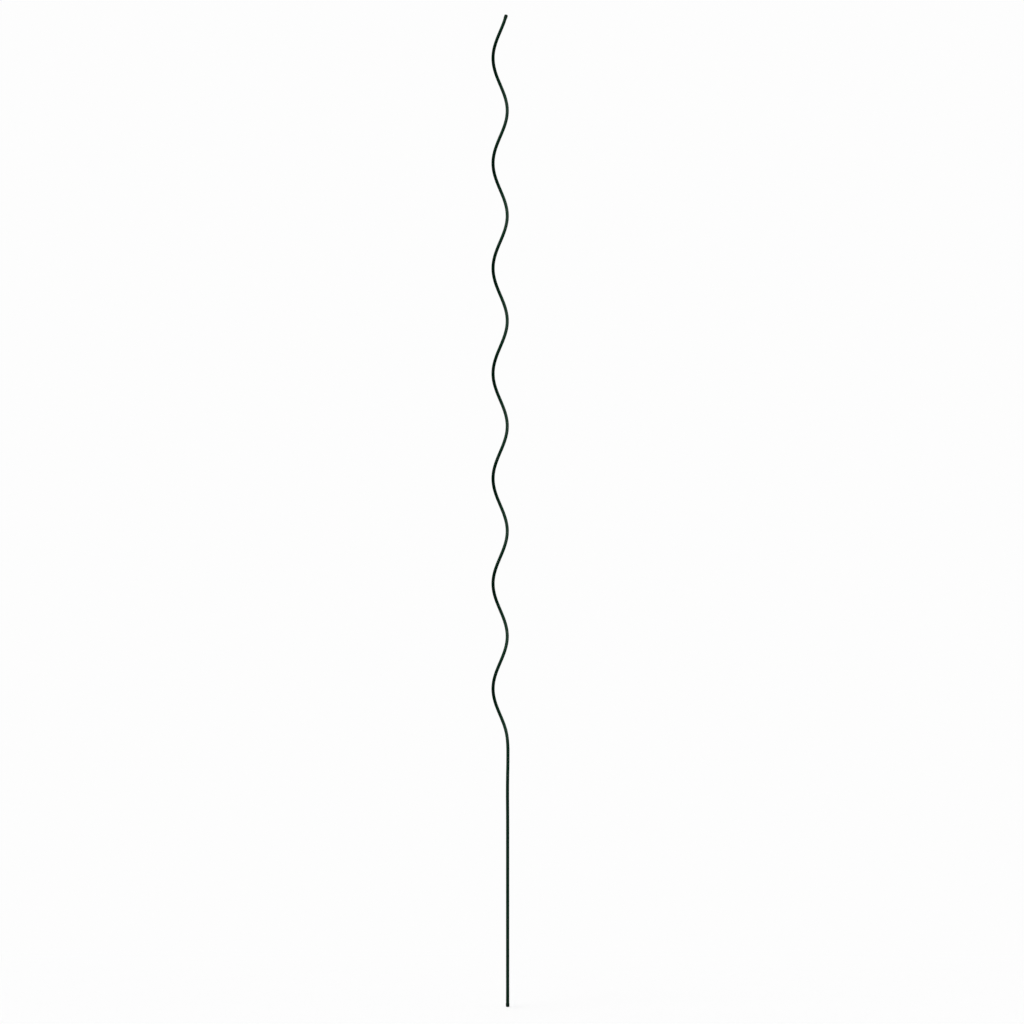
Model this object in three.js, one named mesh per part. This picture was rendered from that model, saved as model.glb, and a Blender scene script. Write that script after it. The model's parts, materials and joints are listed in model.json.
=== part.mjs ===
// Spiral plant stake: one rod, wound into an open helix that a climbing stem grows up through, and
// left straight below as a shank that is pushed into the soil. The rod is a steel core in a green
// plastic coating, and a soft cap covers each cut end.
//
// Millimetres, +Z up. The origin is the centre of the foot's end face and +Z runs up the shank. The
// stem's axis, which the helix winds around, stands parallel to the shank on its -X side.

import * as THREE from "three";

// ---- The rod's path ----
const OVERALL_HEIGHT = 1800; // foot's end face to the middle of the top cap's end face
const BEND_HEIGHT = 482; // where the shank ends and the helix begins, above the foot
const PITCH = 190.7; // rise of one turn of the helix
const HELIX_RADIUS = 12.9; // rod's centreline from the stem's axis, in the helix
const SHANK_OFFSET = 13.6; // rod's centreline from the stem's axis, in the shank
const BEND_HALF_HEIGHT = 15; // the turning builds up over this much below and above the bend
const STEP_IN_HALF_HEIGHT = 17; // the rod moves in from shank to helix over this much either side
const LEAD_RISE = 8; // rise of the straight lead at the top, which the cap slips over

// ---- Springback: the shank swings out below the bend, then dies away to straight ----
const BOW_OUT = 0.5; // furthest out
const BOW_HEIGHT = 456; // height of the furthest point
const BOW_WAVE = 150; // height of one full swing
const BOW_DECAY = 90; // height in which the swing dies away

// ---- The rod's section ----
const CORE_RADIUS = 2.5;
const COATING_BORE_RADIUS = 2.55;
const COATING_RADIUS = 3;

// ---- The caps ----
const CAP_RADIUS = 3.35;
const CAP_BORE_RADIUS = 3.12;
const CAP_LENGTH = 7;
const CAP_END = 2; // thickness of the closed end
const CAP_CORNER = 2; // rounding around the closed end
const CAP_LIP = 0.1; // rounding of the mouth's outer edge
const END_GAP = 0.3; // between the rod's cut end and the inside of the closed end

// ---- Fineness ----
const SECTION_SIDES = 12;
const STEPS_PER_TURN = 20;
const BEND_STEP_RISE = 4;
const BOW_STEP_RISE = 14;
const STRAIGHT_STEP_RISE = 120;
const CAP_SEGMENTS = 36;
const CAP_CORNER_STEPS = 5;

// ---- Finishes ----
const STEEL = { color: 0x8d9092, roughness: 0.38, metalness: 1 };
const GREEN_PLASTIC = { color: 0x0d3826, roughness: 0.36, metalness: 0 };
const DARK_CAP_PLASTIC = { color: 0x0a2a1c, roughness: 0.5, metalness: 0 };

const Y_AXIS = new THREE.Vector3(0, 1, 0);
const Z_AXIS = new THREE.Vector3(0, 0, 1);

const LEAD_FOOT_HEIGHT = OVERALL_HEIGHT - LEAD_RISE;

// The angle wound by a given height. The rate of turning builds up evenly through the bend.
function angleWound(height) {
  const turnRate = (2 * Math.PI) / PITCH;
  const pastStart = height - (BEND_HEIGHT - BEND_HALF_HEIGHT);
  if (pastStart <= 0) return 0;
  if (pastStart >= 2 * BEND_HALF_HEIGHT) return turnRate * (height - BEND_HEIGHT);
  return (turnRate * pastStart ** 2) / (4 * BEND_HALF_HEIGHT);
}

// How far the rod's centreline stands from the stem's axis at a given height.
function distanceFromStem(height) {
  const below = Math.max(BOW_HEIGHT - height, 0);
  const fading = Math.exp(-((below / BOW_DECAY) ** 2));
  const bow = BOW_OUT * fading * Math.cos((2 * Math.PI * below) / BOW_WAVE);
  const intoHelix = THREE.MathUtils.smoothstep(
    height,
    BEND_HEIGHT - STEP_IN_HALF_HEIGHT,
    BEND_HEIGHT + STEP_IN_HALF_HEIGHT,
  );
  return THREE.MathUtils.lerp(SHANK_OFFSET + bow, HELIX_RADIUS, intoHelix);
}

// The wound part of the centreline, shank and bend included.
function woundPoint(height) {
  const angle = angleWound(height);
  const distance = distanceFromStem(height);
  return new THREE.Vector3(
    distance * Math.cos(angle) - SHANK_OFFSET,
    distance * Math.sin(angle),
    height,
  );
}

// The helix's direction at the foot of the straight lead, which the lead then keeps.
function leadDirection() {
  const slope = (2 * Math.PI * HELIX_RADIUS) / PITCH;
  const angle = angleWound(LEAD_FOOT_HEIGHT);
  return new THREE.Vector3(-slope * Math.sin(angle), slope * Math.cos(angle), 1).normalize();
}

// Any point of the centreline, by its height.
function centreAt(height) {
  if (height <= LEAD_FOOT_HEIGHT) return woundPoint(height);
  const direction = leadDirection();
  const along = (height - LEAD_FOOT_HEIGHT) / direction.z;
  return woundPoint(LEAD_FOOT_HEIGHT).addScaledVector(direction, along);
}

// Heights of the sweep's steps: close together where the rod bends, far apart where it is straight.
function stepHeights() {
  const coveredEnd = CAP_END + END_GAP;
  const stretches = [
    { top: BOW_HEIGHT - 2 * BOW_DECAY, rise: STRAIGHT_STEP_RISE },
    { top: BEND_HEIGHT - STEP_IN_HALF_HEIGHT, rise: BOW_STEP_RISE },
    { top: BEND_HEIGHT + STEP_IN_HALF_HEIGHT, rise: BEND_STEP_RISE },
    { top: LEAD_FOOT_HEIGHT, rise: PITCH / STEPS_PER_TURN },
    { top: OVERALL_HEIGHT - coveredEnd * leadDirection().z, rise: LEAD_RISE },
  ];
  const heights = [coveredEnd];
  for (const { top, rise } of stretches) {
    const bottom = heights.at(-1);
    const steps = Math.ceil((top - bottom) / rise);
    for (let i = 1; i <= steps; i++) {
      heights.push(THREE.MathUtils.lerp(bottom, top, i / steps));
    }
  }
  return heights;
}

// The rod's centreline as a curve whose even steps land on the listed heights.
class RodPath extends THREE.Curve {
  constructor(heights) {
    super();
    this.heights = heights;
  }

  getPoint(t, target = new THREE.Vector3()) {
    const steps = this.heights.length - 1;
    const step = Math.min(Math.floor(t * steps), steps - 1);
    const partOfStep = t * steps - step;
    const height = THREE.MathUtils.lerp(this.heights[step], this.heights[step + 1], partOfStep);
    return target.copy(centreAt(height));
  }

  // Spaces points by step, not by length.
  getUtoTmapping(u) {
    return u;
  }
}

// The corners of a regular section that has the same area as a circle of the given radius.
function sectionCorners(radius) {
  const cornerAngle = (2 * Math.PI) / SECTION_SIDES;
  const cornerRadius = radius * Math.sqrt(cornerAngle / Math.sin(cornerAngle));
  return Array.from({ length: SECTION_SIDES }, (_, i) => {
    const angle = i * cornerAngle;
    return new THREE.Vector2(Math.cos(angle), Math.sin(angle)).multiplyScalar(cornerRadius);
  });
}

// A bar along the whole rod, or a sleeve where a bore radius is given.
function sweepAlongRod(path, radius, boreRadius = 0) {
  const section = new THREE.Shape(sectionCorners(radius));
  if (boreRadius > 0) section.holes.push(new THREE.Path(sectionCorners(boreRadius)));
  return new THREE.ExtrudeGeometry(section, {
    steps: path.heights.length - 1,
    extrudePath: path,
  });
}

// A cap turned about Y, with its closed end's face at y = 0 and its mouth at y = CAP_LENGTH.
function capGeometry() {
  const wall = new THREE.Path();
  wall.moveTo(0, 0);
  wall.lineTo(CAP_RADIUS - CAP_CORNER, 0);
  wall.absarc(CAP_RADIUS - CAP_CORNER, CAP_CORNER, CAP_CORNER, -Math.PI / 2, 0);
  wall.lineTo(CAP_RADIUS, CAP_LENGTH - CAP_LIP);
  wall.absarc(CAP_RADIUS - CAP_LIP, CAP_LENGTH - CAP_LIP, CAP_LIP, 0, Math.PI / 2);
  wall.lineTo(CAP_BORE_RADIUS, CAP_LENGTH);
  wall.lineTo(CAP_BORE_RADIUS, CAP_END);
  wall.lineTo(0, CAP_END);
  return new THREE.LatheGeometry(wall.getPoints(CAP_CORNER_STEPS), CAP_SEGMENTS);
}

function namedMesh(name, geometry, finish) {
  const mesh = new THREE.Mesh(geometry, new THREE.MeshStandardMaterial(finish));
  mesh.name = name;
  return mesh;
}

// A cap with the middle of its end face at the given point, and its mouth facing along the rod.
function capMesh(name, endFaceCentre, alongRod) {
  const cap = namedMesh(name, capGeometry(), DARK_CAP_PLASTIC);
  cap.position.copy(endFaceCentre);
  cap.quaternion.setFromUnitVectors(Y_AXIS, alongRod);
  return cap;
}

const rodPath = new RodPath(stepHeights());

const group = new THREE.Group();
group.name = "spiral_plant_stake";
group.add(
  namedMesh("steel_core", sweepAlongRod(rodPath, CORE_RADIUS), STEEL),
  namedMesh(
    "plastic_coating",
    sweepAlongRod(rodPath, COATING_RADIUS, COATING_BORE_RADIUS),
    GREEN_PLASTIC,
  ),
  capMesh("foot_cap", centreAt(0), Z_AXIS),
  capMesh("top_cap", centreAt(OVERALL_HEIGHT), leadDirection().negate()),
);

export default group;
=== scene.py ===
"""A spiral plant stake: one coated steel rod, wound as an open helix above a straight shank.

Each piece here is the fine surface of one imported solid, lofted along the same path: the drawn
steel core, the green coating extruded over it, and a soft cap on each cut end.
Lengths are in metres and +Z is up. The foot's end face is at the origin, and the stem's axis,
which the helix winds around, stands parallel to the shank on its -X side.
"""

import json
import logging
import math
from dataclasses import dataclass, field
from enum import Enum
from typing import Iterator, Sequence

import bpy
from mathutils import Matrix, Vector
from mathutils.bvhtree import BVHTree


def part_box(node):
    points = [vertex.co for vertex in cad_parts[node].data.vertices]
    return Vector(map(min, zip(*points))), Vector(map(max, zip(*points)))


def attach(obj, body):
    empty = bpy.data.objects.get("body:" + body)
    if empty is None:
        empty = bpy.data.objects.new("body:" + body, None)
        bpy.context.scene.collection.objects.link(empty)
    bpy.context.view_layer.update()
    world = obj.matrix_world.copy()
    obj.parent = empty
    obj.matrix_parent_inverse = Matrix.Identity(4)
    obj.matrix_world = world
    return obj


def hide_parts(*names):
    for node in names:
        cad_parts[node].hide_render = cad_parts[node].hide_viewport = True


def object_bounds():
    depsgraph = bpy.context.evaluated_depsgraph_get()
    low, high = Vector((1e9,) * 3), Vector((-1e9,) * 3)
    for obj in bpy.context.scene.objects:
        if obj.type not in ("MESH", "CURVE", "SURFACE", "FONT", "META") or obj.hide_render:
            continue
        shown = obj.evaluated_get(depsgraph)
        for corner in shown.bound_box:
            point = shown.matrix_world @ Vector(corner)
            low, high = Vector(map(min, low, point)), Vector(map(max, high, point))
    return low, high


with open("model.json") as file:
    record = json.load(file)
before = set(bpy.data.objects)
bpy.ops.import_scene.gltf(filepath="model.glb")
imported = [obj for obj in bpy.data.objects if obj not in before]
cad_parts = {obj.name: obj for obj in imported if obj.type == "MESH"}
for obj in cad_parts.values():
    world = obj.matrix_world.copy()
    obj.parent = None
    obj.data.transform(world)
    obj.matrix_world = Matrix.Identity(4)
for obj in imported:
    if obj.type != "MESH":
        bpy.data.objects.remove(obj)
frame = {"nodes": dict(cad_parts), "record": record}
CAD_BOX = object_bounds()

LOG = logging.getLogger("spiral_stake")

MM = 0.001
QUARTER_TURN = math.pi / 2
FULL_TURN = 2 * math.pi
ROOT_BODY = "root"

Socket = bpy.types.NodeSocket
Colour = tuple[float, float, float]
Span = tuple[float, float]

NONE_TO_ALL: Span = (0.0, 1.0)
NOISE_REACH: Span = (0.3, 0.7)  # soft noise seldom leaves it
LAMP_DISTANCE = 3.0  # from the foot; only a lamp's direction matters


class Part(Enum):
    """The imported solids, by their node names."""

    STEEL_CORE = "steel_core"
    PLASTIC_COATING = "plastic_coating"
    FOOT_CAP = "foot_cap"
    TOP_CAP = "top_cap"


class Slot(Enum):
    """The record's material slots."""

    DRAWN_STEEL = "drawn_steel"
    GREEN_COATING = "green_coating"
    CAP_PLASTIC = "cap_plastic"


class Reading(Enum):
    """What a skin notes at each of its points, for its finish to read."""

    PLACE = "rod_place"  # the point on the straightened rod: across, across, along
    WEAR = "wear"  # 0 to 1, how much it is rubbed in handling


class Closing(Enum):
    """How the first and last rings of a lofted skin are closed."""

    POLES = "each end ring is fanned to a point at its middle"
    LOOP = "the last ring is joined back to the first"


class LampUse(Enum):
    """What a lamp is there for."""

    BODY_LIGHT = "lights the colour of every surface and leaves no sheen"
    SHEEN = "leaves a soft sheen and adds no light to the colours"


# ---- The rod's path ----


@dataclass(frozen=True)
class Station:
    """A place on a centreline, with the two directions that span the section there.

    Attributes:
        centre: The point on the centreline.
        outward: Unit direction across the rod, away from the stem's axis.
        sideways: Unit direction across the rod, a quarter turn on from outward.
        along: Length of centreline from its foot to here.
    """

    centre: Vector
    outward: Vector
    sideways: Vector
    along: float

    @property
    def tangent(self) -> Vector:
        """Unit direction of the centreline, from foot to tip."""
        return self.outward.cross(self.sideways)

    def at(self, angle: float, radius: float) -> Vector:
        """The point at an angle around the section and a distance from its centre."""
        across = self.outward * math.cos(angle) + self.sideways * math.sin(angle)
        return self.centre + across * radius

    def moved(self, distance: float) -> "Station":
        """The same station carried straight along its tangent."""
        centre = self.centre + self.tangent * distance
        return Station(centre, self.outward, self.sideways, self.along + distance)


@dataclass(frozen=True)
class RodPath:
    """The rod's centreline by height: straight shank, bend, helix, and a short straight lead.

    Attributes:
        overall_height: Height of the middle of the top cap's end face.
        bend_height: Where the shank ends and the helix begins.
        pitch: Rise of one turn.
        helix_radius: Centreline from the stem's axis, in the helix.
        shank_offset: Centreline from the stem's axis, in the shank.
        bend_half_height: The turning builds up over this much either side of the bend.
        step_in_half_height: The rod moves in to the helix over this much either side.
        lead_rise: Rise of the straight lead that the top cap slips over.
        bow_out: How far springback swings the shank out below the bend.
        bow_height: Height of the furthest point of that swing.
        bow_wave: Height of one full swing.
        bow_decay: Height in which the swing dies away.
        turn_steps: Stations in one turn of the helix.
        shank_step: Rise between stations where the shank is straight.
        bow_step: Rise between stations in the swing.
        bend_step: Rise between stations in the bend.
        lead_step: Rise between stations in the lead.
    """

    overall_height: float = 1.800
    bend_height: float = 0.482
    pitch: float = 0.1907
    helix_radius: float = 12.9 * MM
    shank_offset: float = 13.6 * MM
    bend_half_height: float = 15 * MM
    step_in_half_height: float = 17 * MM
    lead_rise: float = 8 * MM
    bow_out: float = 0.5 * MM
    bow_height: float = 0.456
    bow_wave: float = 0.150
    bow_decay: float = 0.090
    turn_steps: int = 72
    shank_step: float = 40 * MM
    bow_step: float = 6 * MM
    bend_step: float = 1.5 * MM
    lead_step: float = 2 * MM

    @property
    def lead_foot(self) -> float:
        """Height where the helix ends and the straight lead begins."""
        return self.overall_height - self.lead_rise

    def angle_wound(self, height: float) -> float:
        """The angle that the rod has turned about the stem's axis by a height.

        Args:
            height: Height above the foot.

        Returns:
            The angle in radians, 0 all along the shank.
        """
        turn_rate = FULL_TURN / self.pitch
        past_start = height - (self.bend_height - self.bend_half_height)
        if past_start <= 0:
            return 0.0
        if past_start >= 2 * self.bend_half_height:
            return turn_rate * (height - self.bend_height)
        return turn_rate * past_start**2 / (4 * self.bend_half_height)

    def distance_from_stem(self, height: float) -> float:
        """How far the centreline stands from the stem's axis at a height.

        Args:
            height: Height above the foot.

        Returns:
            The distance, which steps in from the shank's to the helix's around the bend.
        """
        below = max(self.bow_height - height, 0.0)
        fading = math.exp(-((below / self.bow_decay) ** 2))
        bow = self.bow_out * fading * math.cos(FULL_TURN * below / self.bow_wave)
        start = self.bend_height - self.step_in_half_height
        into_helix = smooth_step((height - start) / (2 * self.step_in_half_height))
        shank = self.shank_offset + bow
        return shank + (self.helix_radius - shank) * into_helix

    def lead_direction(self) -> Vector:
        """The helix's own direction where the lead begins, which the lead keeps.

        Returns:
            The unit direction.
        """
        slope = FULL_TURN * self.helix_radius / self.pitch
        angle = self.angle_wound(self.lead_foot)
        return Vector((-slope * math.sin(angle), slope * math.cos(angle), 1.0)).normalized()

    def centre(self, height: float) -> Vector:
        """The centreline's point at a height.

        Args:
            height: Height above the foot.

        Returns:
            The point.
        """
        if height > self.lead_foot:
            direction = self.lead_direction()
            run = (height - self.lead_foot) / direction.z
            return self.centre(self.lead_foot) + direction * run
        angle = self.angle_wound(height)
        distance = self.distance_from_stem(height)
        across = distance * math.cos(angle) - self.shank_offset
        return Vector((across, distance * math.sin(angle), height))

    def station(self, height: float, along: float = 0.0) -> Station:
        """The centreline's station at a height.

        Args:
            height: Height above the foot.
            along: Length of centreline up to here.

        Returns:
            The station, with its outward direction square to the rod.
        """
        nudge = 0.01 * MM
        tangent = (self.centre(height + nudge) - self.centre(height - nudge)).normalized()
        angle = self.angle_wound(min(height, self.lead_foot))
        outward = Vector((math.cos(angle), math.sin(angle), 0.0))
        outward = (outward - tangent * outward.dot(tangent)).normalized()
        return Station(self.centre(height), outward, tangent.cross(outward), along)

    def stations(self, bottom: float, top: float) -> list[Station]:
        """Stations from one height to another, closer together where the rod bends.

        Args:
            bottom: Height of the first station.
            top: Height of the last station.

        Returns:
            The stations, lowest first, each with its length along the rod.
        """
        stretches = (
            (self.bow_height - 2 * self.bow_decay, self.shank_step),
            (self.bend_height - self.step_in_half_height, self.bow_step),
            (self.bend_height + self.step_in_half_height, self.bend_step),
            (self.lead_foot, self.pitch / self.turn_steps),
            (top, self.lead_step),
        )
        heights = [bottom]
        for stretch_top, rise in stretches:
            start = heights[-1]
            steps = math.ceil((stretch_top - start) / rise)
            heights += [start + (stretch_top - start) * i / steps for i in range(1, steps + 1)]
        found = [self.station(bottom, bottom)]
        for height in heights[1:]:
            before = found[-1]
            along = before.along + (self.centre(height) - before.centre).length
            found.append(self.station(height, along))
        return found


def smooth_step(value: float) -> float:
    """A smooth rise from 0 to 1 as a value goes from 0 to 1, flat outside.

    Args:
        value: Where on the rise to read it.

    Returns:
        A number from 0 to 1.
    """
    held = min(max(value, 0.0), 1.0)
    return held * held * (3.0 - 2.0 * held)


# ---- Lofted skins ----


@dataclass(frozen=True)
class Ring:
    """One round of points about a station.

    Attributes:
        station: Where it is.
        radius: Its radius.
        wear: How much it is rubbed in handling, 0 to 1.
    """

    station: Station
    radius: float
    wear: float = 0.0


@dataclass(frozen=True)
class RoundedEdge:
    """A rounded edge in a wall's outline, turned about the rod.

    Attributes:
        along: Place of the rounding's centre along the rod.
        radius: Distance of that centre from the rod's axis.
        size: The rounding itself.
        start: Angle where it begins: 0 faces away from the axis, a quarter turn faces the tip.
        end: Angle where it ends.
        steps: Stretches that it is cut into.
    """

    along: float
    radius: float
    size: float
    start: float
    end: float
    steps: int

    def points(self) -> Iterator[tuple[float, float]]:
        """Its points in order.

        Yields:
            Each point's place along the rod and its radius.
        """
        for i in range(self.steps + 1):
            angle = self.start + (self.end - self.start) * i / self.steps
            yield self.along + self.size * math.sin(angle), self.radius + self.size * math.cos(angle)


@dataclass
class Skin:
    """A closed surface lofted over a row of rings.

    Rings that run from foot to tip face away from the rod, and rings that run back down face in.

    Attributes:
        name: Name of the piece.
        rings: The rings in order, along the outline of the wall.
        sides: Points in each ring.
        closing: How the row's two ends are closed.
    """

    name: str
    rings: Sequence[Ring]
    sides: int
    closing: Closing
    points: list[Vector] = field(default_factory=list, init=False)
    places: list[float] = field(default_factory=list, init=False)
    wears: list[float] = field(default_factory=list, init=False)
    faces: list[tuple[int, ...]] = field(default_factory=list, init=False)

    def add_point(self, ring: Ring, angle: float, radius: float) -> None:
        """Adds one point and what its finish reads there.

        Args:
            ring: The ring that it belongs to.
            angle: Its angle around the section.
            radius: Its distance from the centre.
        """
        self.points.append(ring.station.at(angle, radius))
        across = (radius * math.cos(angle), radius * math.sin(angle))
        self.places += (*across, ring.station.along)
        self.wears.append(ring.wear)

    def add_band(self, low: int, high: int) -> None:
        """Adds the faces between two rings.

        Args:
            low: Index of the ring nearer the start of the row.
            high: Index of the other.
        """
        for i in range(self.sides):
            after = (i + 1) % self.sides
            near, far = low * self.sides, high * self.sides
            self.faces.append((near + i, near + after, far + after, far + i))

    def add_pole(self, ring_index: int, facing_foot: bool) -> None:
        """Fans an end ring to a point at its middle.

        Args:
            ring_index: Index of the ring.
            facing_foot: Whether the fan faces the foot, not the tip.
        """
        pole = len(self.points)
        self.add_point(self.rings[ring_index], 0.0, 0.0)
        first = ring_index * self.sides
        for i in range(self.sides):
            pair = (first + i, first + (i + 1) % self.sides)
            self.faces.append((pole, *(reversed(pair) if facing_foot else pair)))

    def loft(self) -> bpy.types.Object:
        """Builds the surface.

        Returns:
            The object, in the scene and shaded smooth, with a reading of each kind.
        """
        for ring in self.rings:
            for i in range(self.sides):
                self.add_point(ring, FULL_TURN * i / self.sides, ring.radius)
        last = len(self.rings) - 1
        for low in range(last):
            self.add_band(low, low + 1)
        if self.closing is Closing.LOOP:
            self.add_band(last, 0)
        else:
            self.add_pole(0, facing_foot=True)
            self.add_pole(last, facing_foot=False)
        mesh = bpy.data.meshes.new(self.name)
        mesh.from_pydata(self.points, [], self.faces)
        mesh.polygons.foreach_set("use_smooth", [True] * len(mesh.polygons))
        place = mesh.attributes.new(Reading.PLACE.value, "FLOAT_VECTOR", "POINT")
        place.data.foreach_set("vector", self.places)
        wear = mesh.attributes.new(Reading.WEAR.value, "FLOAT", "POINT")
        wear.data.foreach_set("value", self.wears)
        mesh.update()
        built = bpy.data.objects.new(self.name, mesh)
        bpy.context.scene.collection.objects.link(built)
        return built


# ---- Finishes ----


@dataclass(frozen=True)
class Pattern:
    """Soft noise on the rod's surface.

    Attributes:
        lump: Size of a lump across the rod.
        detail: Octaves of finer noise.
        rough: Strength of those octaves.
        along: Scale along the rod: 1 leaves the lumps round, and less draws them out.
    """

    lump: float
    detail: float
    rough: float = 0.5
    along: float = 1.0


class NodeSheet:
    """The node sheet of a material or a world, with short calls for the nodes used here."""

    def __init__(self, owner: bpy.types.Material | bpy.types.World) -> None:
        """Opens the sheet, which holds only a shader and an output.

        Args:
            owner: The material or world.
        """
        owner.use_nodes = True
        self.owner = owner
        self.tree = owner.node_tree

    @property
    def shader(self) -> bpy.types.Node:
        """The surface shader of a new material."""
        return self.tree.nodes["Principled BSDF"]

    def add(self, kind: str, **settings: object) -> bpy.types.Node:
        """Adds a node.

        Args:
            kind: Blender's name for the kind of node.
            settings: Properties of the node, by name.

        Returns:
            The node.
        """
        node = self.tree.nodes.new(kind)
        for name, value in settings.items():
            setattr(node, name, value)
        return node

    def link(self, source: Socket, target: Socket) -> None:
        """Joins one socket to another."""
        self.tree.links.new(source, target)

    def reading(self, reading: Reading) -> bpy.types.Node:
        """The node that gives one of the skin's readings."""
        return self.add("ShaderNodeAttribute", attribute_name=reading.value)

    def noise(self, place: Socket, pattern: Pattern) -> Socket:
        """Soft noise about the value 0.5.

        Args:
            place: The place to read it at.
            pattern: Its size and character.

        Returns:
            The noise.
        """
        scaled = self.add("ShaderNodeVectorMath", operation="MULTIPLY")
        scaled.inputs[1].default_value = (1.0, 1.0, pattern.along)
        self.link(place, scaled.inputs[0])
        node = self.add("ShaderNodeTexNoise")
        node.inputs["Scale"].default_value = 1.0 / pattern.lump
        node.inputs["Detail"].default_value = pattern.detail
        node.inputs["Roughness"].default_value = pattern.rough
        self.link(scaled.outputs["Vector"], node.inputs["Vector"])
        return node.outputs["Fac"]

    def specks(self, place: Socket, spacing: float, radius: float) -> Socket:
        """Round specks, 1 at their middles and 0 between them.

        Args:
            place: The place to read them at.
            spacing: Distance between specks.
            radius: Radius of one.

        Returns:
            The specks' height.
        """
        node = self.add("ShaderNodeTexVoronoi")
        node.inputs["Scale"].default_value = 1.0 / spacing
        self.link(place, node.inputs["Vector"])
        return self.ranged(node.outputs["Distance"], (0.0, radius / spacing), (1.0, 0.0))

    def ranged(self, value: Socket, source: Span, target: Span = NONE_TO_ALL) -> Socket:
        """A value carried smoothly from one range to another, and held inside it.

        Args:
            value: The value.
            source: Where it starts and ends.
            target: What those become.

        Returns:
            The new value.
        """
        node = self.add("ShaderNodeMapRange", interpolation_type="SMOOTHSTEP")
        node.inputs["From Min"].default_value, node.inputs["From Max"].default_value = source
        node.inputs["To Min"].default_value, node.inputs["To Max"].default_value = target
        self.link(value, node.inputs["Value"])
        return node.outputs["Result"]

    def sum(self, *terms: tuple[Socket, float]) -> Socket:
        """Adds values, each times its weight.

        Args:
            terms: Pairs of value and weight.

        Returns:
            The total.
        """
        total: Socket | None = None
        for value, weight in terms:
            node = self.add("ShaderNodeMath", operation="MULTIPLY_ADD")
            node.inputs[1].default_value = weight
            node.inputs[2].default_value = 0.0
            self.link(value, node.inputs[0])
            if total is not None:
                self.link(total, node.inputs[2])
            total = node.outputs["Value"]
        return total

    def product(self, first: Socket, second: Socket) -> Socket:
        """One value times another.

        Args:
            first: The one value.
            second: The other.

        Returns:
            The product.
        """
        node = self.add("ShaderNodeMath", operation="MULTIPLY")
        self.link(first, node.inputs[0])
        self.link(second, node.inputs[1])
        return node.outputs["Value"]

    def blend(self, share: Socket, first: Socket | Colour, second: Colour) -> Socket:
        """A colour between two.

        Args:
            share: How much of the second, 0 to 1.
            first: The first colour, or a socket that gives it.
            second: The second colour.

        Returns:
            The blended colour.
        """
        node = self.add("ShaderNodeMix", data_type="RGBA")
        share_in = next(socket for socket in node.inputs if socket.type == "VALUE")
        first_in, second_in = (socket for socket in node.inputs if socket.type == "RGBA")
        self.link(share, share_in)
        if isinstance(first, tuple):
            first_in.default_value = (*first, 1.0)
        else:
            self.link(first, first_in)
        second_in.default_value = (*second, 1.0)
        return next(socket for socket in node.outputs if socket.type == "RGBA")

    def drive(self, **sources: Socket) -> None:
        """Feeds the shader's sockets, named with spaces as underscores."""
        for name, source in sources.items():
            self.link(source, self.shader.inputs[name.replace("_", " ")])

    def hold(self, **values: float) -> None:
        """Sets values that are the same all over, on the shader's own sockets."""
        for name, value in values.items():
            self.shader.inputs[name.replace("_", " ")].default_value = value

    def emboss(self, height: Socket, depth: float) -> None:
        """Raises the surface.

        Args:
            height: The surface's height, 0 to 1.
            depth: What a height of 1 stands for.
        """
        node = self.add("ShaderNodeBump")
        node.inputs["Distance"].default_value = depth
        self.link(height, node.inputs["Height"])
        self.link(node.outputs["Normal"], self.shader.inputs["Normal"])


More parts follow.
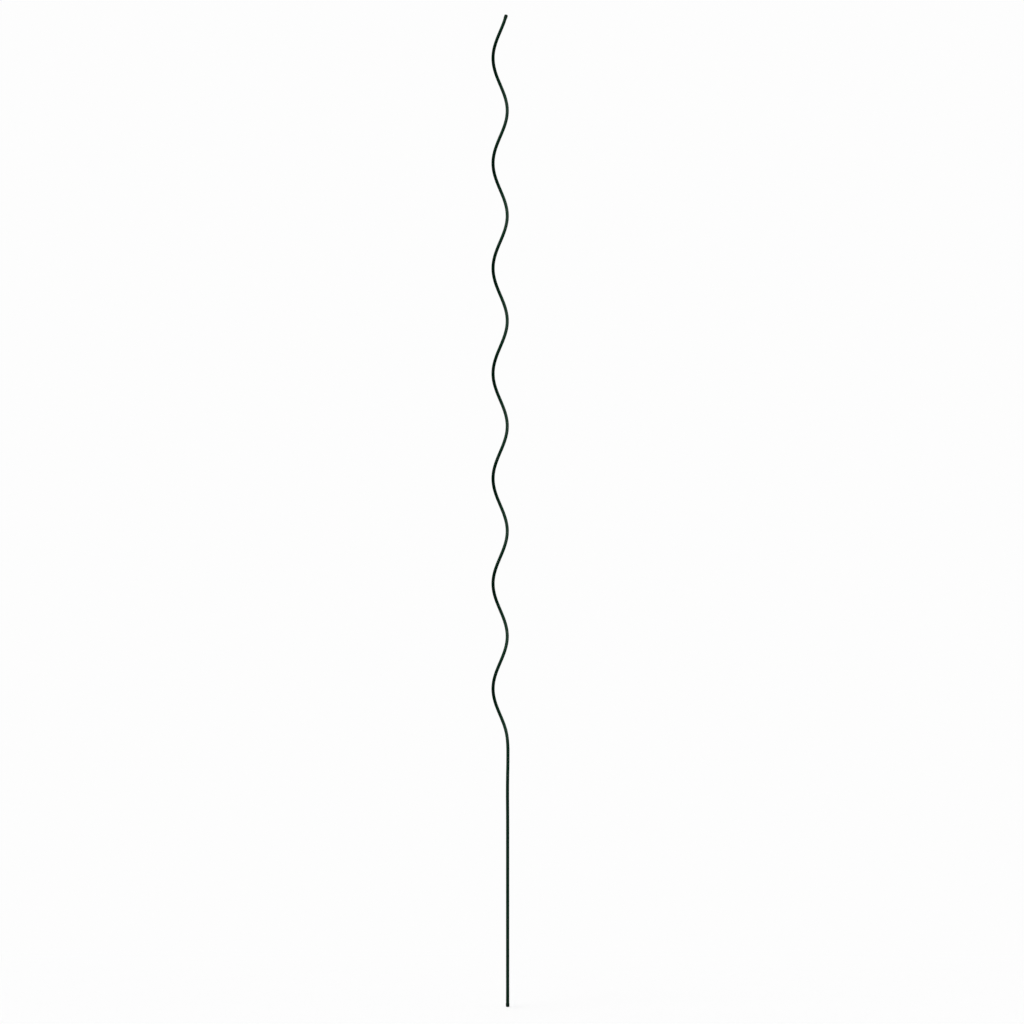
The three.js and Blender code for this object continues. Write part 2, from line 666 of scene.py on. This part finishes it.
@dataclass(frozen=True)
class GreenCoating:
    """Satin plastic, extruded over the wire: fine lines drawn out by the die, faint mottling,
    a few nibs and scuffs, and a smoother track on the helix where the winding roller ran.

    Attributes:
        deep: Colour of its darker clouds.
        body: Colour of its paler clouds.
        clouds: The mottling.
        streaks: Long changes of shade and satin.
        shade_mix: Weights of clouds and streaks in the shade.
        shade_reach: Where that mix is deepest and palest.
        scratches: Noise whose peaks are scuffs.
        scuff_onset: Where on a peak the scuff starts and is full.
        scuffed: Colour of a scuff.
        scuff_tint: How much of that colour it takes.
        scuff_dulling: How much rougher it is.
        satin: Range of its roughness.
        refraction: Its index of refraction.
        track: Where the roller's track starts and is full, out from the rod's centre.
        track_run_in: Length of helix in which the track comes in.
        track_polish: How much smoother the track is.
        die_lines: The lines drawn out by the die.
        grain: The fine grain.
        nib_spacing: Distance between nibs.
        nib_radius: Radius of one.
        relief: Depth of its lines and nibs.
        relief_mix: Weights of die lines, grain, nibs and scuffs in the relief.
    """

    deep: Colour = (0.0032, 0.0350, 0.0152)
    body: Colour = (0.0050, 0.0455, 0.0205)
    clouds: Pattern = Pattern(3.8 * MM, 4.0, 0.6, along=0.35)
    streaks: Pattern = Pattern(2.4 * MM, 3.0, along=0.03)
    shade_mix: tuple[float, ...] = (0.6, 0.4)
    shade_reach: Span = (0.36, 0.64)
    scratches: Pattern = Pattern(1.1 * MM, 5.0, 0.7, along=0.12)
    scuff_onset: Span = (0.66, 0.80)
    scuffed: Colour = (0.0200, 0.0720, 0.0440)
    scuff_tint: float = 0.3
    scuff_dulling: float = 0.1
    satin: Span = (0.30, 0.42)
    refraction: float = 1.47
    track: Span = (2.1 * MM, 2.9 * MM)
    track_run_in: float = 30 * MM
    track_polish: float = 0.08
    die_lines: Pattern = Pattern(0.38 * MM, 2.0, 0.6, along=0.006)
    grain: Pattern = Pattern(0.19 * MM, 2.0)
    nib_spacing: float = 3.0 * MM
    nib_radius: float = 0.20 * MM
    relief: float = 0.020 * MM
    relief_mix: tuple[float, ...] = (0.5, 0.1, 0.5, -0.1)

    def make(self, helix_start: float) -> bpy.types.Material:
        """Builds the material.

        Args:
            helix_start: Length along the rod where the helix begins.

        Returns:
            The material.
        """
        sheet = NodeSheet(bpy.data.materials.new("green_coating"))
        place = sheet.reading(Reading.PLACE).outputs["Vector"]
        die_lines = sheet.noise(place, self.die_lines)
        streaks = sheet.noise(place, self.streaks)
        clouds = sheet.noise(place, self.clouds)
        grain = sheet.noise(place, self.grain)
        nibs = sheet.specks(place, self.nib_spacing, self.nib_radius)
        scuffs = sheet.ranged(sheet.noise(place, self.scratches), self.scuff_onset)

        split = sheet.add("ShaderNodeSeparateXYZ")
        sheet.link(place, split.inputs[0])
        outer_side = sheet.ranged(split.outputs["X"], self.track)
        run_in = (helix_start, helix_start + self.track_run_in)
        track = sheet.product(outer_side, sheet.ranged(split.outputs["Z"], run_in))

        mottling = sheet.sum(*zip((clouds, streaks), self.shade_mix))
        colour = sheet.blend(sheet.ranged(mottling, self.shade_reach), self.deep, self.body)
        colour = sheet.blend(sheet.sum((scuffs, self.scuff_tint)), colour, self.scuffed)
        satin = sheet.ranged(streaks, NOISE_REACH, self.satin)
        roughness = sheet.sum(
            (satin, 1.0), (track, -self.track_polish), (scuffs, self.scuff_dulling)
        )
        sheet.drive(Base_Color=colour, Roughness=roughness)
        sheet.hold(IOR=self.refraction)
        raised = (die_lines, grain, nibs, scuffs)
        sheet.emboss(sheet.sum(*zip(raised, self.relief_mix)), self.relief)
        return sheet.owner


@dataclass(frozen=True)
class CapVinyl:
    """Soft moulded plastic: darker and duller than the coating, lightly pebbled, and paler
    where its edges are rubbed.

    Attributes:
        deep: Colour of its darker clouds.
        body: Colour of its paler clouds.
        clouds: The mottling.
        shade_reach: Where the clouds are deepest and palest.
        rubbed: Colour of its rubbed edges.
        rub_cover: How much of that colour they take, where the clouds are deepest and palest.
        dullness: Range of its roughness.
        refraction: Its index of refraction.
        pebbles: The pebbling.
        relief: Depth of its pebbling.
        relief_mix: Weights of pebbles and clouds in the relief.
    """

    deep: Colour = (0.0022, 0.0190, 0.0095)
    body: Colour = (0.0036, 0.0280, 0.0140)
    clouds: Pattern = Pattern(1.4 * MM, 4.0, 0.6)
    shade_reach: Span = (0.35, 0.65)
    rubbed: Colour = (0.0160, 0.0500, 0.0310)
    rub_cover: Span = (0.1, 0.55)
    dullness: Span = (0.46, 0.62)
    refraction: float = 1.50
    pebbles: Pattern = Pattern(0.15 * MM, 2.0, 0.6)
    relief: float = 0.018 * MM
    relief_mix: tuple[float, ...] = (0.5, 0.5)

    def make(self) -> bpy.types.Material:
        """Builds the material.

        Returns:
            The material.
        """
        sheet = NodeSheet(bpy.data.materials.new("cap_vinyl"))
        place = sheet.reading(Reading.PLACE).outputs["Vector"]
        wear = sheet.reading(Reading.WEAR).outputs["Fac"]
        clouds = sheet.noise(place, self.clouds)
        pebbles = sheet.noise(place, self.pebbles)
        shade = sheet.ranged(clouds, self.shade_reach)
        rubbed = sheet.product(wear, sheet.ranged(clouds, self.shade_reach, self.rub_cover))
        colour = sheet.blend(rubbed, sheet.blend(shade, self.deep, self.body), self.rubbed)
        dullness = sheet.ranged(clouds, NOISE_REACH, self.dullness)
        sheet.drive(Base_Color=colour, Roughness=dullness)
        sheet.hold(IOR=self.refraction)
        sheet.emboss(sheet.sum(*zip((pebbles, clouds), self.relief_mix)), self.relief)
        return sheet.owner


@dataclass(frozen=True)
class DrawnSteel:
    """Cold-drawn wire: grey metal with fine lengthwise draw marks and faint oxide clouds.

    Attributes:
        bright: Colour of the clean metal.
        oxide: Colour of the clouds.
        clouds: The clouds' pattern.
        oxide_onset: Where in it the oxide starts and is full.
        oxide_cover: Range of how much of its colour shows.
        marks: The draw marks.
        roughness: Range of its roughness.
        anisotropy: How far its sheen is drawn out by the marks.
        relief: Depth of its draw marks.
    """

    bright: Colour = (0.34, 0.35, 0.36)
    oxide: Colour = (0.16, 0.15, 0.145)
    clouds: Pattern = Pattern(3.3 * MM, 4.0, 0.6, along=0.3)
    oxide_onset: Span = (0.50, 0.72)
    oxide_cover: Span = (0.0, 0.8)
    marks: Pattern = Pattern(0.24 * MM, 3.0, 0.65, along=0.01)
    roughness: Span = (0.28, 0.46)
    anisotropy: float = 0.5
    relief: float = 0.010 * MM

    def make(self) -> bpy.types.Material:
        """Builds the material.

        Returns:
            The material.
        """
        sheet = NodeSheet(bpy.data.materials.new("drawn_steel"))
        place = sheet.reading(Reading.PLACE).outputs["Vector"]
        marks = sheet.noise(place, self.marks)
        clouds = sheet.noise(place, self.clouds)
        oxide = sheet.ranged(clouds, self.oxide_onset, self.oxide_cover)
        sheet.drive(
            Base_Color=sheet.blend(oxide, self.bright, self.oxide),
            Roughness=sheet.ranged(marks, NOISE_REACH, self.roughness),
        )
        sheet.hold(Metallic=1.0, Anisotropic=self.anisotropy)
        sheet.emboss(marks, self.relief)
        return sheet.owner


# ---- The pieces ----


@dataclass
class Piece:
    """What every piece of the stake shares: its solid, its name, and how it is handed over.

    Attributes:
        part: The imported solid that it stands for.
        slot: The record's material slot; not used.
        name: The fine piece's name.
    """

    part: Part
    slot: Slot
    name: str

    def skin(self) -> Skin:
        """The piece's surface, ready to be lofted."""
        raise NotImplementedError

    def hand_over(self, finish: bpy.types.Material) -> bpy.types.Object:
        """Lofts the piece, dresses it, ties it to its body and reports it.

        Args:
            finish: Its material.

        Returns:
            The piece.
        """
        built = self.skin().loft()
        built.data.materials.append(finish)
        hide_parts(self.part.value)
        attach(built, ROOT_BODY)
        faces, away = len(built.data.polygons), self.furthest_from_solid(built) / MM
        LOG.info("%s: %d faces, within %.2f mm of %s", self.name, faces, away, self.part.value)
        return built

    def furthest_from_solid(self, built: bpy.types.Object) -> float:
        """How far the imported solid's corners stand from the fine surface at most.

        Args:
            built: The fine piece.

        Returns:
            The largest distance.
        """
        surface = BVHTree.FromPolygons(
            [vertex.co for vertex in built.data.vertices],
            [tuple(face.vertices) for face in built.data.polygons],
        )
        corners = (vertex.co for vertex in frame["nodes"][self.part.value].data.vertices)
        return max(surface.find_nearest(corner)[3] for corner in corners)


@dataclass
class CutLength(Piece):
    """A length of rod or sleeve that ends square inside both caps.

    Attributes:
        path: The rod's centreline.
        covered_end: Depth of cap beyond each cut end, measured along the rod.
        end_rounding: Rounding of the cut ends' edges.
        edge_steps: Stretches that a rounded edge is cut into.
    """

    path: RodPath
    covered_end: float
    end_rounding: float
    edge_steps: int

    def stations(self) -> list[Station]:
        """Its stations, the first and last set in from the cuts by the rounding there.

        Returns:
            The stations, lowest first.
        """
        set_in = self.covered_end + self.end_rounding
        top = self.path.overall_height - set_in * self.path.lead_direction().z
        return self.path.stations(set_in, top)

    def edge(self, station: Station, radius: float, start: float) -> list[Ring]:
        """A rounded edge of a cut end, a quarter turn long.

        Args:
            station: The station level with the rounding's centre.
            radius: Distance of that centre from the rod's axis.
            start: Angle where it begins, as for a rounded edge.

        Returns:
            Its rings.
        """
        edge = RoundedEdge(
            0.0, radius, self.end_rounding, start, start + QUARTER_TURN, self.edge_steps
        )
        return [Ring(station.moved(along), at_radius) for along, at_radius in edge.points()]


@dataclass
class SteelCore(CutLength):
    """The bent wire inside the coating, its sheared ends lightly rounded.

    Attributes:
        radius: The wire's radius.
        sides: Points around the section.
    """

    end_rounding: float = 0.25 * MM
    edge_steps: int = 4
    radius: float = 2.50 * MM
    sides: int = 24

    def skin(self) -> Skin:
        """The wire's surface, from the foot's cut face up to the tip's.

        Returns:
            The surface.
        """
        stations = self.stations()
        foot, tip = stations[0], stations[-1]
        flat = self.radius - self.end_rounding
        rings = [Ring(foot.moved(-self.end_rounding), flat / 2)]
        rings += self.edge(foot, flat, -QUARTER_TURN)
        rings += [Ring(station, self.radius) for station in stations[1:-1]]
        rings += self.edge(tip, flat, 0.0)
        rings.append(Ring(tip.moved(self.end_rounding), flat / 2))
        return Skin(self.name, rings, self.sides, Closing.POLES)


@dataclass
class PlasticCoating(CutLength):
    """The green sleeve on the wire, open at both ends.

    Attributes:
        bore_radius: Inner radius.
        sides: Points around the section.
        radius: Outer radius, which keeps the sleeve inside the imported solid's box.
    """

    end_rounding: float = 0.10 * MM
    edge_steps: int = 3
    bore_radius: float = 2.55 * MM
    sides: int = 32
    radius: float = field(init=False)

    def __post_init__(self) -> None:
        """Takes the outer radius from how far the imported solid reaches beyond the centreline."""
        reach = -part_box(self.part.value)[0][0] - self.path.shank_offset
        self.radius = reach - self.path.helix_radius

    def skin(self) -> Skin:
        """The sleeve's surface: up the outside, over the tip's cut, and down the bore.

        Returns:
            The surface.
        """
        stations = self.stations()
        foot, tip = stations[0], stations[-1]
        outer = self.radius - self.end_rounding
        inner = self.bore_radius + self.end_rounding
        rings = self.edge(foot, outer, -QUARTER_TURN)
        rings += [Ring(station, self.radius) for station in stations[1:-1]]
        rings += self.edge(tip, outer, 0.0)
        rings += self.edge(tip, inner, QUARTER_TURN)
        rings += [Ring(station, self.bore_radius) for station in stations[-2:0:-1]]
        rings += self.edge(foot, inner, -2 * QUARTER_TURN)
        return Skin(self.name, rings, self.sides, Closing.LOOP)


@dataclass
class EndCap(Piece):
    """A soft cap slipped over a cut end: flat closed end, rounded corner, and a beaded mouth.

    Attributes:
        seat: The station at the middle of its end face, its tangent pointing into the mouth.
        gripped_radius: Radius of the coating that the bore grips.
        grip_room: Room left between the two.
        end_thickness: Thickness of the closed end.
        corner: Rounding around the closed end.
        waist: How much slimmer the body is than the bead.
        flare_length: Length in which the body widens to the bead.
        dimple_radius: Radius of the shallow dimple left in the end face by moulding.
        dimple_depth: Depth of that dimple.
        flat_wear: How much the flat around it is rubbed.
        sides: Points around it.
        corner_steps: Stretches that the corner is cut into.
        bead_steps: Stretches that the bead is cut into.
        dimple_rings: Where rings stand, as shares of the dimple's radius.
        wall_rings: The same, of the body's length.
        flare_rings: The same, of the flare's length.
        bore_rings: The same, of the bore's depth.
        radius: Outer radius of the bead.
        length: Length from end face to mouth.
        bore_radius: Radius of the bore.
    """

    seat: Station
    gripped_radius: float
    grip_room: float = 0.01 * MM
    end_thickness: float = 2.0 * MM
    corner: float = 2.0 * MM
    waist: float = 0.05 * MM
    flare_length: float = 0.35 * MM
    dimple_radius: float = 0.55 * MM
    dimple_depth: float = 0.07 * MM
    flat_wear: float = 0.3
    sides: int = 48
    corner_steps: int = 12
    bead_steps: int = 8
    dimple_rings: tuple[float, ...] = (0.25, 0.5, 0.7, 0.85, 1.0)
    wall_rings: tuple[float, ...] = (0.25, 0.5, 0.75, 1.0)
    flare_rings: tuple[float, ...] = (0.25, 0.5, 0.75)
    bore_rings: tuple[float, ...] = (0.35, 0.7, 1.0)
    radius: float = field(init=False)
    length: float = field(init=False)
    bore_radius: float = field(init=False)

    def __post_init__(self) -> None:
        """Takes the outer size from the foot cap's solid, and the bore from the coating."""
        low, high = (Vector(corner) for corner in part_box(Part.FOOT_CAP.value))
        self.radius = (high.x - low.x) / 2
        self.length = high.z - low.z
        self.bore_radius = self.gripped_radius + self.grip_room

    def end_face(self) -> Iterator[Ring]:
        """The closed end: the dimple, the flat around it, and the rounded corner.

        Yields:
            Its rings, from the middle out.
        """
        for share in self.dimple_rings:
            depth = self.dimple_depth * (1.0 - smooth_step(share))
            yield Ring(self.seat.moved(depth), self.dimple_radius * share)
        flat = self.radius - self.waist - self.corner
        yield Ring(self.seat, (self.dimple_radius + flat) / 2, self.flat_wear)
        corner = RoundedEdge(
            self.corner, flat, self.corner, -QUARTER_TURN, 0.0, self.corner_steps
        )
        for along, radius in corner.points():
            yield Ring(self.seat.moved(along), radius, 1.0 - smooth_step(along / self.corner))

    def side_wall(self, bead: float) -> Iterator[Ring]:
        """The wall from the corner up to the bead, which it widens to meet.

        Args:
            bead: Rounding of the bead.

        Yields:
            Its rings, from the corner up.
        """
        body = self.radius - self.waist
        flare_foot = self.length - bead - self.flare_length
        for share in self.wall_rings:
            along = self.corner + (flare_foot - self.corner) * share
            yield Ring(self.seat.moved(along), body)
        for share in self.flare_rings:
            along = flare_foot + self.flare_length * share
            yield Ring(self.seat.moved(along), body + self.waist * smooth_step(share), share)

    def mouth_and_bore(self, bead: float) -> Iterator[Ring]:
        """The bead around the mouth, and the bore down to its floor.

        Args:
            bead: Rounding of the bead.

        Yields:
            Its rings, over the mouth and down.
        """
        top = self.length - bead
        middle = self.radius - bead
        roll = RoundedEdge(top, middle, bead, 0.0, 2 * QUARTER_TURN, self.bead_steps)
        for along, radius in roll.points():
            yield Ring(self.seat.moved(along), radius, 1.0)
        for share in self.bore_rings:
            along = top + (self.end_thickness - top) * share
            yield Ring(self.seat.moved(along), self.bore_radius)
        yield Ring(self.seat.moved(self.end_thickness), self.bore_radius / 2)

    def skin(self) -> Skin:
        """The cap's surface, from the middle of the end face around to the bore's floor.

        Returns:
            The surface.
        """
        bead = (self.radius - self.bore_radius) / 2
        rings = [*self.end_face(), *self.side_wall(bead), *self.mouth_and_bore(bead)]
        return Skin(self.name, rings, self.sides, Closing.POLES)


@dataclass
class Stake:
    """The whole stake.

    Attributes:
        path: The rod's centreline.
        cap_end: Thickness of a cap's closed end.
        end_gap: Room between a cut end and the inside of its cap.
    """

    path: RodPath = field(default_factory=RodPath)
    cap_end: float = 2.0 * MM
    end_gap: float = 0.3 * MM

    def foot_seat(self) -> Station:
        """The foot cap's seat, at the mount where the ground holds the stake.

        Returns:
            The station, its tangent pointing up.
        """
        mounts = {mount["name"]: mount for mount in frame["record"]["mounts"]}
        anchor = Vector(mounts["ground_anchor"]["pos_m"])
        return Station(anchor, Vector((1, 0, 0)), Vector((0, 1, 0)), 0.0)

    def top_seat(self) -> Station:
        """The top cap's seat, its tangent pointing back down the lead.

        Returns:
            The station.
        """
        tip = self.path.station(self.path.overall_height)
        return Station(tip.centre, tip.outward, -tip.sideways, 0.0)

    def build(self) -> list[bpy.types.Object]:
        """Builds and dresses every piece, inside out.

        Returns:
            The pieces.
        """
        rod = {"path": self.path, "covered_end": self.cap_end + self.end_gap}
        core = SteelCore(Part.STEEL_CORE, Slot.DRAWN_STEEL, "core_wire", **rod)
        coating = PlasticCoating(Part.PLASTIC_COATING, Slot.GREEN_COATING, "green_sleeve", **rod)
        end = {
            "slot": Slot.CAP_PLASTIC,
            "gripped_radius": coating.radius,
            "end_thickness": self.cap_end,
        }
        foot_cap = EndCap(Part.FOOT_CAP, name="foot_end_cap", seat=self.foot_seat(), **end)
        top_cap = EndCap(Part.TOP_CAP, name="top_end_cap", seat=self.top_seat(), **end)
        vinyl = CapVinyl().make()
        return [
            core.hand_over(DrawnSteel().make()),
            coating.hand_over(GreenCoating().make(helix_start=self.path.bend_height)),
            foot_cap.hand_over(vinyl),
            top_cap.hand_over(vinyl),
        ]


# ---- The studio ----


@dataclass(frozen=True)
class SoftLamp:
    """A broad, even light from one side, as from a large lamp far away.

    Attributes:
        name: Its name.
        use: What it is there for.
        azimuth: Where it comes from, in degrees: 0 from the viewer's side, 90 from +X.
        elevation: Degrees above the horizon.
        strength: Light on a surface that faces it, in watts for each square metre.
        spread: Its width across the sky, in degrees.
    """

    name: str
    use: LampUse
    azimuth: float
    elevation: float
    strength: float
    spread: float

    @property
    def on_floor(self) -> float:
        """Light that it lays on a level floor, in watts for each square metre.

        Returns:
            The light, which is none for a lamp that only leaves a sheen.
        """
        if self.use is LampUse.SHEEN:
            return 0.0
        return self.strength * math.sin(math.radians(self.elevation))

    def place(self) -> bpy.types.Object:
        """Puts the lamp in the scene.

        Returns:
            The lamp.
        """
        lamp = bpy.data.lights.new(self.name, "SUN")
        lamp.energy = self.strength
        lamp.angle = math.radians(self.spread)
        light = bpy.data.objects.new(self.name, lamp)
        turn, rise = math.radians(self.azimuth), math.radians(self.elevation)
        level = math.cos(rise)
        source = Vector((math.sin(turn) * level, -math.cos(turn) * level, math.sin(rise)))
        light.rotation_mode = "QUATERNION"
        light.rotation_quaternion = (-source).to_track_quat("-Z", "Y")
        light.location = source * LAMP_DISTANCE
        light.visible_glossy = self.use is LampUse.SHEEN
        light.visible_diffuse = self.use is LampUse.BODY_LIGHT
        bpy.context.scene.collection.objects.link(light)
        return light


@dataclass(frozen=True)
class Surround:
    """A round of white cloth about the stake: white to look at, and as a light dim towards the
    horizon and brighter overhead, so that the dark stake isn't washed out by reflections.

    Attributes:
        white: Its brightness as seen, 1 being full white.
        low: Its light from around the horizon.
        high: Its light from overhead.
        rise: Where its light starts to grow and is full, as the height on a unit dome.
    """

    white: float = 0.983
    low: float = 0.02
    high: float = 0.60
    rise: Span = (0.2, 0.95)

    @property
    def on_floor(self) -> float:
        """Light that it lays on a level floor, in watts for each square metre.

        Returns:
            The dome's light, summed in level bands.
        """
        bands = 400
        total = 0.0
        for i in range(bands):
            height = (i + 0.5) / bands
            share = smooth_step((height - self.rise[0]) / (self.rise[1] - self.rise[0]))
            total += (self.low + (self.high - self.low) * share) * height
        return FULL_TURN * total / bands

    def hang(self) -> None:
        """Hangs it around the scene."""
        sheet = NodeSheet(bpy.data.worlds.new("studio_surround"))
        bpy.context.scene.world = sheet.owner
        lighting = sheet.tree.nodes["Background"]
        lighting.inputs["Color"].default_value = (1.0, 1.0, 1.0, 1.0)
        seen = sheet.add("ShaderNodeBackground")
        seen.inputs["Color"].default_value = (self.white, self.white, self.white, 1.0)
        direction = sheet.add("ShaderNodeTexCoord")
        split = sheet.add("ShaderNodeSeparateXYZ")
        sheet.link(direction.outputs["Generated"], split.inputs[0])
        growth = sheet.ranged(split.outputs["Z"], self.rise, (self.low, self.high))
        sheet.link(growth, lighting.inputs["Strength"])
        looked_at = sheet.add("ShaderNodeLightPath")
        choice = sheet.add("ShaderNodeMixShader")
        sheet.link(looked_at.outputs["Is Camera Ray"], choice.inputs["Fac"])
        sheet.link(lighting.outputs[0], choice.inputs[1])
        sheet.link(seen.outputs[0], choice.inputs[2])
        sheet.link(choice.outputs[0], sheet.tree.nodes["World Output"].inputs["Surface"])


@dataclass
class Studio:
    """A plain white studio: a pale floor that runs out into a white surround, and soft lamps.

    Attributes:
        surround: The white surround.
        floor_half: Half the floor's width.
        floor_paint: How much of its light the floor gives back, near the stake.
        floor_fade: Distances from the foot between which the floor turns into the surround.
        picture_side: Width and height of the space that the picture takes in at the stake.
        aim: The point that the camera looks at.
        lens: Focal length in millimetres, long so that the view has next to no perspective.
        near_clip: How near to the camera its view begins.
        far_clip_share: Where its view ends, in distances to the stake, before floor_half.
        lamps: The lamps.
    """

    surround: Surround = field(default_factory=Surround)
    floor_half: float = 60.0
    floor_paint: float = 0.80
    floor_fade: Span = (0.5, 3.0)
    picture_side: float = 1.8579
    aim: tuple[float, float, float] = (0.0079, 0.0, 0.8981)
    lens: float = 500.0
    near_clip: float = 0.1
    far_clip_share: float = 3.0
    lamps: tuple[SoftLamp, ...] = (
        SoftLamp("key_lamp", LampUse.BODY_LIGHT, -35.0, 52.0, 1.50, 30.0),
        SoftLamp("fill_lamp", LampUse.BODY_LIGHT, 50.0, 40.0, 0.70, 50.0),
        SoftLamp("back_lamp", LampUse.BODY_LIGHT, 205.0, 50.0, 1.00, 40.0),
        SoftLamp("left_strip", LampUse.SHEEN, -58.0, 10.0, 0.10, 12.0),
        SoftLamp("right_strip", LampUse.SHEEN, 130.0, 14.0, 0.10, 12.0),
    )

    @property
    def floor_glow(self) -> float:
        """What the lit floor lacks of the surround's white, which it gives out itself."""
        lit = self.surround.on_floor + sum(lamp.on_floor for lamp in self.lamps)
        return self.surround.white - self.floor_paint * lit / math.pi

    def lay_floor(self) -> bpy.types.Object:
        """Lays the pale floor at the foot's height.

        Returns:
            The floor.
        """
        level, side = CAD_BOX[0][2], self.floor_half
        corners = [(-side, -side, level), (side, -side, level), (side, side, level)]
        corners.append((-side, side, level))
        mesh = bpy.data.meshes.new("studio_floor")
        mesh.from_pydata(corners, [], [(0, 1, 2, 3)])
        floor = bpy.data.objects.new("studio_floor", mesh)
        bpy.context.scene.collection.objects.link(floor)
        mesh.materials.append(self.mix_floor_paint())
        floor.visible_diffuse = False
        floor.visible_glossy = False
        return floor

    def mix_floor_paint(self) -> bpy.types.Material:
        """Mixes the floor's paint: matt at the foot, and further out as white as the surround.

        Returns:
            The paint.
        """
        sheet = NodeSheet(bpy.data.materials.new("studio_white"))
        sheet.tree.nodes.remove(sheet.shader)
        place = sheet.add("ShaderNodeTexCoord")
        length = sheet.add("ShaderNodeVectorMath", operation="LENGTH")
        sheet.link(place.outputs["Object"], length.inputs[0])
        from_foot = length.outputs["Value"]
        matt = sheet.add("ShaderNodeBsdfDiffuse")
        colour = sheet.ranged(from_foot, self.floor_fade, (self.floor_paint, 0.0))
        sheet.link(colour, matt.inputs["Color"])
        glow = sheet.add("ShaderNodeEmission")
        to_white = (self.floor_glow, self.surround.white)
        sheet.link(sheet.ranged(from_foot, self.floor_fade, to_white), glow.inputs["Strength"])
        both = sheet.add("ShaderNodeAddShader")
        sheet.link(matt.outputs[0], both.inputs[0])
        sheet.link(glow.outputs[0], both.inputs[1])
        sheet.link(both.outputs[0], sheet.tree.nodes["Material Output"].inputs["Surface"])
        return sheet.owner

    def set_camera(self) -> bpy.types.Object:
        """Sets a level camera square to the stake's front.

        Returns:
            The camera.
        """
        lens = bpy.data.cameras.new("camera")
        lens.lens = self.lens
        distance = self.picture_side * lens.lens / lens.sensor_width
        lens.clip_start = self.near_clip
        lens.clip_end = self.far_clip_share * distance + self.floor_half
        camera = bpy.data.objects.new("camera", lens)
        camera.location = Vector(self.aim) - Vector((0.0, distance, 0.0))
        camera.rotation_euler = (QUARTER_TURN, 0.0, 0.0)
        bpy.context.scene.collection.objects.link(camera)
        bpy.context.scene.camera = camera
        return camera

    def build(self) -> None:
        """Makes the whole studio."""
        bpy.context.scene.view_settings.view_transform = "Standard"
        self.set_camera()
        self.lay_floor()
        self.surround.hang()
        for lamp in self.lamps:
            lamp.place()
        LOG.info("studio: %d lamps, floor glow %.4f", len(self.lamps), self.floor_glow)


def main() -> None:
    """Builds the studio and the stake."""
    logging.basicConfig(level=logging.INFO, format="%(name)s: %(message)s")
    Studio().build()
    pieces = Stake().build()
    LOG.info("%d pieces built", len(pieces))


if __name__ == "__main__":
    main()
